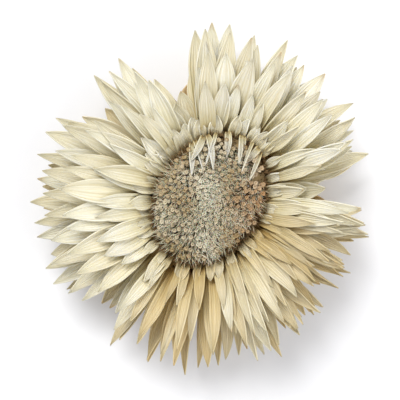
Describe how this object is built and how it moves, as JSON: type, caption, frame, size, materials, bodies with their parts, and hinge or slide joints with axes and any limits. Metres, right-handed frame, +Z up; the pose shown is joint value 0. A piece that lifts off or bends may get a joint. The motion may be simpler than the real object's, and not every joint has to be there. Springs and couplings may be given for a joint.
{
  "type": "dried strawflower head",
  "caption": "Open dried strawflower head with papery ivory bracts round a brown disc, cut flush under its base, lying face up.",
  "frame": {"origin": "centre of the head's outline, on the surface that it lies on", "axes": "+Z up out of the disc, +Y towards the tall bunch of bracts at the top of the head seen from above"},
  "size_m": [0.0358, 0.036, 0.0137],
  "materials": {
    "ivory_bract": "dry, papery, slightly silky",
    "dry_floret": "matt, bristly",
    "tan_bract": "dry, papery, slightly glossy",
    "cut_stalk": "matt, fibrous"
  },
  "bodies": {
    "root": {"ray_bracts": "ivory_bract", "disc_florets": "dry_floret", "outer_bracts": "tan_bract", "stem_stub": "cut_stalk"}
  },
  "joints": []
}
